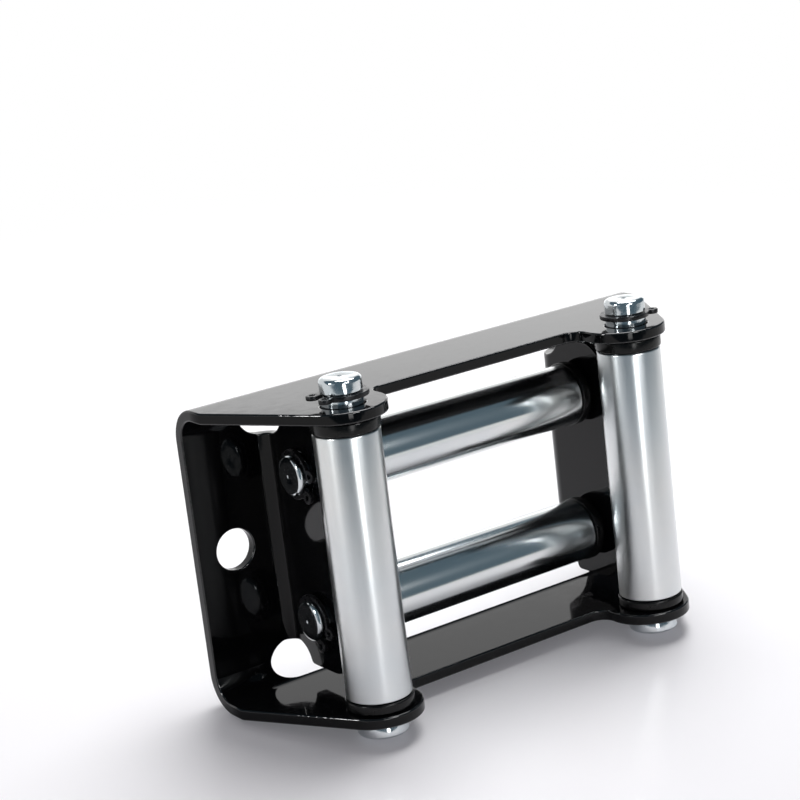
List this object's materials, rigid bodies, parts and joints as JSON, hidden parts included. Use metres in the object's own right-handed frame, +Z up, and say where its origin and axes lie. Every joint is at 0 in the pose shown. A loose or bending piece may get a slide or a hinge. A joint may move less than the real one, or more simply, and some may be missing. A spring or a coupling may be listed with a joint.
{
  "type": "roller fairlead",
  "caption": "Roller fairlead that guides a winch rope between upright and lying steel rollers in a folded plate frame.",
  "frame": {"origin": "middle of the footprint at the height of the lowest pin heads", "axes": "+Z up along the upright rollers, +X along the frame's length and the lying rollers, +Y toward the mounting face"},
  "size_m": [0.1466, 0.0507, 0.0948],
  "materials": {
    "black_gloss_paint": "gloss black powder coat",
    "zinc_plated_tube": "satin zinc plate",
    "bright_zinc_pin": "bright zinc plate",
    "black_spring_steel": "blackened spring steel",
    "black_plastic": "moulded black plastic"
  },
  "bodies": {
    "fairlead_frame": {"frame": "black_gloss_paint", "vertical_pin_left": "bright_zinc_pin", "clip_vertical_left": "black_spring_steel", "vertical_pin_right": "bright_zinc_pin", "clip_vertical_right": "black_spring_steel", "horizontal_pin_upper": "bright_zinc_pin", "clip_horizontal_upper": "black_spring_steel", "horizontal_pin_lower": "bright_zinc_pin", "clip_horizontal_lower": "black_spring_steel"},
    "vertical_left_roller": {"vertical_roller_left": "zinc_plated_tube", "bush_vertical_left_a": "black_plastic", "bush_vertical_left_b": "black_plastic"},
    "vertical_right_roller": {"vertical_roller_right": "zinc_plated_tube", "bush_vertical_right_a": "black_plastic", "bush_vertical_right_b": "black_plastic"},
    "horizontal_upper_roller": {"horizontal_roller_upper": "zinc_plated_tube", "bush_horizontal_upper_a": "black_plastic", "bush_horizontal_upper_b": "black_plastic"},
    "horizontal_lower_roller": {"horizontal_roller_lower": "zinc_plated_tube", "bush_horizontal_lower_a": "black_plastic", "bush_horizontal_lower_b": "black_plastic"}
  },
  "joints": [
    {"name": "vertical_left_spin", "type": "hinge", "parent": "fairlead_frame", "child": "vertical_left_roller", "pos_m": [-0.0465, -0.01515, 0.0459], "axis": [0, 0, 1], "continuous": true},
    {"name": "vertical_right_spin", "type": "hinge", "parent": "fairlead_frame", "child": "vertical_right_roller", "pos_m": [0.0465, -0.01515, 0.0459], "axis": [0, 0, 1], "continuous": true},
    {"name": "horizontal_upper_spin", "type": "hinge", "parent": "fairlead_frame", "child": "horizontal_upper_roller", "pos_m": [0, 0.00735, 0.0659], "axis": [1, 0, 0], "continuous": true},
    {"name": "horizontal_lower_spin", "type": "hinge", "parent": "fairlead_frame", "child": "horizontal_lower_roller", "pos_m": [0, 0.00735, 0.0259], "axis": [1, 0, 0], "continuous": true}
  ]
}
